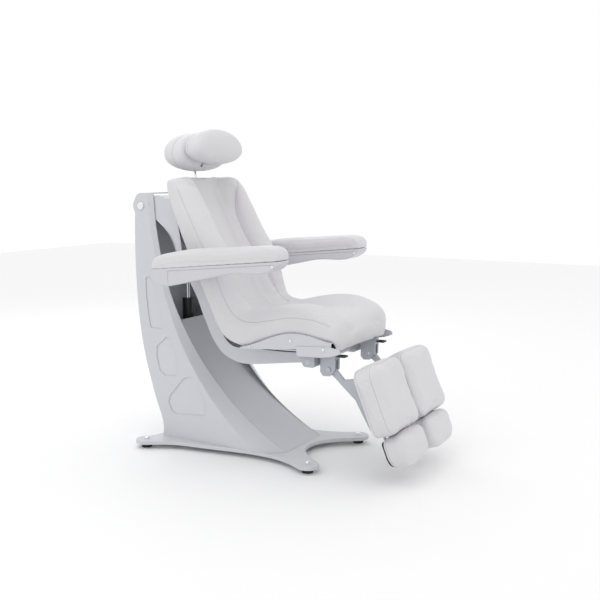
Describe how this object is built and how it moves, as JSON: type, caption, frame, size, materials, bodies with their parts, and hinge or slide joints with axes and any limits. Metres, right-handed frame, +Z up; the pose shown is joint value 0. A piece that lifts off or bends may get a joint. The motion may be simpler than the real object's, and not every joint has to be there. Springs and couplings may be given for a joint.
{
  "type": "pedicure spa chair",
  "caption": "Pedicure treatment chair: bucket seat on a curved swing arm in a tall column, with headrest, fold-up armrests and two split leg rests.",
  "frame": {"origin": "centre of the bounding box's bottom face, on the floor", "axes": "+Z up, the chair faces -Y, the sitter's left is +X"},
  "size_m": [0.805, 1.358, 1.403],
  "materials": {
    "painted_steel": "satin powder coat, light blue-grey",
    "panel_paint": "satin powder coat",
    "upholstery": "soft white synthetic leather",
    "moulded_cover": "light grey moulded plastic",
    "rubber": "matte black",
    "black_plastic": "matte black",
    "chrome": "polished",
    "cast_aluminium": "painted casting, satin",
    "steel": "brushed"
  },
  "bodies": {
    "base": {"base_plate": "painted_steel", "levelling_feet": "rubber", "levelling_bolts": "chrome", "rear_cover": "painted_steel", "front_plate": "painted_steel", "top_cover": "painted_steel", "lift_axle": "steel", "axle_caps": "chrome", "axle_spacers": "steel", "actuator_shaft": "steel", "side_plate_right": "painted_steel", "window_panels_right": "panel_paint", "side_plate_left": "painted_steel", "window_panels_left": "panel_paint"},
    "actuator_housing": {"actuator_tube": "black_plastic", "actuator_motor": "black_plastic"},
    "actuator_ram": {"actuator_rod": "chrome"},
    "swing_arm": {"swing_arm": "painted_steel", "lift_pin": "steel", "rest_block": "rubber"},
    "seat": {"bucket_shell": "painted_steel", "bucket_cushion": "upholstery", "seat_plate": "steel", "tilt_axle": "steel", "trim_bolts": "chrome", "leg_pins": "steel", "armrest_axles": "steel", "armrest_collars": "steel", "tilt_bracket_right": "cast_aluminium", "side_wing_right": "painted_steel", "knuckle_right": "cast_aluminium", "armrest_bracket_right": "cast_aluminium", "tilt_bracket_left": "cast_aluminium", "side_wing_left": "painted_steel", "knuckle_left": "cast_aluminium", "armrest_bracket_left": "cast_aluminium"},
    "headrest_slide": {"headrest_post": "chrome"},
    "headrest": {"headrest_carrier": "steel", "headrest_pin": "steel", "headrest_pad_rear": "upholstery", "headrest_pad_front": "upholstery"},
    "armrest_right": {"armrest_casing_right": "moulded_cover", "armrest_pad_right": "upholstery"},
    "leg_right": {"leg_bar_right": "cast_aluminium", "calf_board_right": "moulded_cover", "calf_pad_right": "upholstery"},
    "footrest_right": {"foot_slider_right": "cast_aluminium", "foot_plate_right": "black_plastic", "foot_pad_right": "upholstery"},
    "pull_right": {"release_pull_right": "black_plastic"},
    "armrest_left": {"armrest_casing_left": "moulded_cover", "armrest_pad_left": "upholstery"},
    "leg_left": {"leg_bar_left": "cast_aluminium", "calf_board_left": "moulded_cover", "calf_pad_left": "upholstery"},
    "footrest_left": {"foot_slider_left": "cast_aluminium", "foot_plate_left": "black_plastic", "foot_pad_left": "upholstery"},
    "pull_left": {"release_pull_left": "black_plastic"}
  },
  "joints": [
    {"name": "lift", "type": "hinge", "parent": "base", "child": "swing_arm", "pos_m": [0, 0.635, 1.068], "axis": [-1, 0, 0], "range_deg": [0, 18]},
    {"name": "actuator_swing", "type": "hinge", "parent": "base", "child": "actuator_housing", "pos_m": [0, 0.54, 0.24], "axis": [1, 0, 0], "range_deg": [-1, 8]},
    {"name": "actuator_extend", "type": "slide", "parent": "actuator_housing", "child": "actuator_ram", "axis": [0, 0.012, 0.9999], "range_m": [0, 0.12]},
    {"name": "seat_tilt", "type": "hinge", "parent": "swing_arm", "child": "seat", "pos_m": [0, -0.222, 0.457], "axis": [1, 0, 0], "range_deg": [0, 12]},
    {"name": "headrest_height", "type": "slide", "parent": "seat", "child": "headrest_slide", "axis": [0, 0.2419, 0.9703], "range_m": [0, 0.08]},
    {"name": "headrest_tilt", "type": "hinge", "parent": "headrest_slide", "child": "headrest", "pos_m": [0, 0.496, 1.229], "axis": [1, 0, 0], "range_deg": [-15, 15]},
    {"name": "armrest_fold_right", "type": "hinge", "parent": "seat", "child": "armrest_right", "pos_m": [-0.355, 0.4, 0.8], "axis": [-1, 0, 0], "range_deg": [0, 85]},
    {"name": "leg_raise_right", "type": "hinge", "parent": "seat", "child": "leg_right", "pos_m": [-0.187, -0.305, 0.432], "axis": [-1, 0, 0], "range_deg": [0, 52]},
    {"name": "footrest_extend_right", "type": "slide", "parent": "leg_right", "child": "footrest_right", "axis": [0, -0.3746, -0.9272], "range_m": [0, 0.09]},
    {"name": "pull_slide_right", "type": "slide", "parent": "seat", "child": "pull_right", "axis": [0, -1, 0], "range_m": [0, 0.01], "stiffness_N_per_m": 400, "springref_m": -0.004},
    {"name": "armrest_fold_left", "type": "hinge", "parent": "seat", "child": "armrest_left", "pos_m": [0.355, 0.4, 0.8], "axis": [-1, 0, 0], "range_deg": [0, 85]},
    {"name": "leg_raise_left", "type": "hinge", "parent": "seat", "child": "leg_left", "pos_m": [0.187, -0.305, 0.432], "axis": [-1, 0, 0], "range_deg": [0, 52]},
    {"name": "footrest_extend_left", "type": "slide", "parent": "leg_left", "child": "footrest_left", "axis": [0, -0.3746, -0.9272], "range_m": [0, 0.09]},
    {"name": "pull_slide_left", "type": "slide", "parent": "seat", "child": "pull_left", "axis": [0, -1, 0], "range_m": [0, 0.01], "stiffness_N_per_m": 400, "springref_m": -0.004}
  ],
  "couplings": [
    {"joint": "actuator_swing", "follows": "lift", "ratio": 0.218},
    {"joint": "actuator_extend", "follows": "lift", "m_per_rad": 0.1095}
  ]
}
